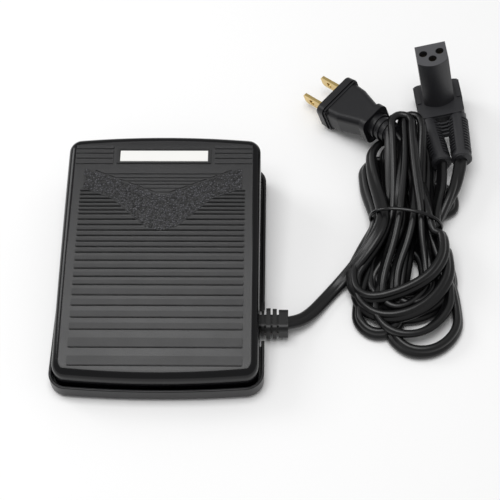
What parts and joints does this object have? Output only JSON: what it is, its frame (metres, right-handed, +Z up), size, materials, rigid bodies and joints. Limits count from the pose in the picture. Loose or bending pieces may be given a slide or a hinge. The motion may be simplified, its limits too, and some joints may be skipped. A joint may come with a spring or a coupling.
{
  "type": "sewing machine pedal",
  "caption": "Foot control for a domestic sewing machine: hinged ribbed cover on a low tray, speed resistor and board inside, flat cords with a machine connector and a mains plug.",
  "frame": {"origin": "on the floor under the middle of the pedal's base", "axes": "+X across the pedal towards the side the cord leaves, +Y from the heel end to the higher toe end, +Z up"},
  "size_m": [0.1899, 0.1772, 0.0421],
  "materials": {
    "tray_black": "fine grained black moulding",
    "cover_black": "fine grained black moulding, slightly satin",
    "plate_white": "blank white label",
    "soft_black": "flexible black bush",
    "cord_grey": "soft flat twin cord, satin",
    "tie_black": "black tie",
    "plug_black": "moulded plug, satin",
    "brass": "stamped brass",
    "steel": "zinc plated",
    "board": "green laminate",
    "component_dark": "moulded component",
    "ferrite": "ferrite",
    "copper": "enamelled wire",
    "film_yellow": "boxed film capacitor",
    "resistor_tan": "lacquered resistor bodies",
    "trim_blue": "trimmer body",
    "terminal_green": "terminal housing",
    "alloy": "plain aluminium",
    "glass_clear": "fuse tube",
    "guide_white": "natural nylon"
  },
  "bodies": {
    "base": {"base_tray": "tray_black", "rubber_feet": "soft_black", "stop_bumpers": "soft_black", "hinge_shaft": "steel", "hinge_clips": "steel", "return_spring_left": "steel", "return_spring_right": "steel", "circuit_board": "board", "board_screws": "steel", "triac": "component_dark", "heat_sink": "alloy", "triac_screw": "steel", "choke_core": "ferrite", "choke_winding": "copper", "suppression_capacitor": "film_yellow", "timing_capacitor": "film_yellow", "resistors": "resistor_tan", "trimmer": "trim_blue", "fuse": "glass_clear", "terminal_block": "terminal_green", "terminal_screws": "steel", "lead_wires": "cord_grey", "cord_clamp": "tray_black", "clamp_screws": "steel", "wiper_guide": "guide_white", "resistor_card": "component_dark", "plunger_spring": "steel", "strain_relief": "soft_black", "pedal_cord": "cord_grey", "cord_hank": "cord_grey", "cable_tie": "tie_black", "connector_body": "plug_black", "connector_contacts": "brass", "pedal_lead_end": "cord_grey", "mains_lead_end": "cord_grey", "plug_body": "plug_black", "plug_blades": "brass"},
    "pedal": {"pedal_cover": "cover_black", "name_plate": "plate_white", "limit_screws": "steel"},
    "plunger": {"wiper_plunger": "guide_white", "wiper_contact": "brass"}
  },
  "joints": [
    {"name": "pedal_press", "type": "hinge", "parent": "base", "child": "pedal", "pos_m": [0, -0.047, 0.008], "axis": [-1, 0, 0], "range_deg": [0, 4.5], "stiffness_Nm_per_rad": 9, "springref_deg": -3.44, "deforming": ["return_spring_left", "return_spring_right", "plunger_spring"]},
    {"name": "plunger_slide", "type": "slide", "parent": "base", "child": "plunger", "axis": [0, 0, -1], "range_m": [0, 0.006]}
  ],
  "couplings": [
    {"joint": "plunger_slide", "follows": "pedal_press", "m_per_rad": 0.072}
  ]
}
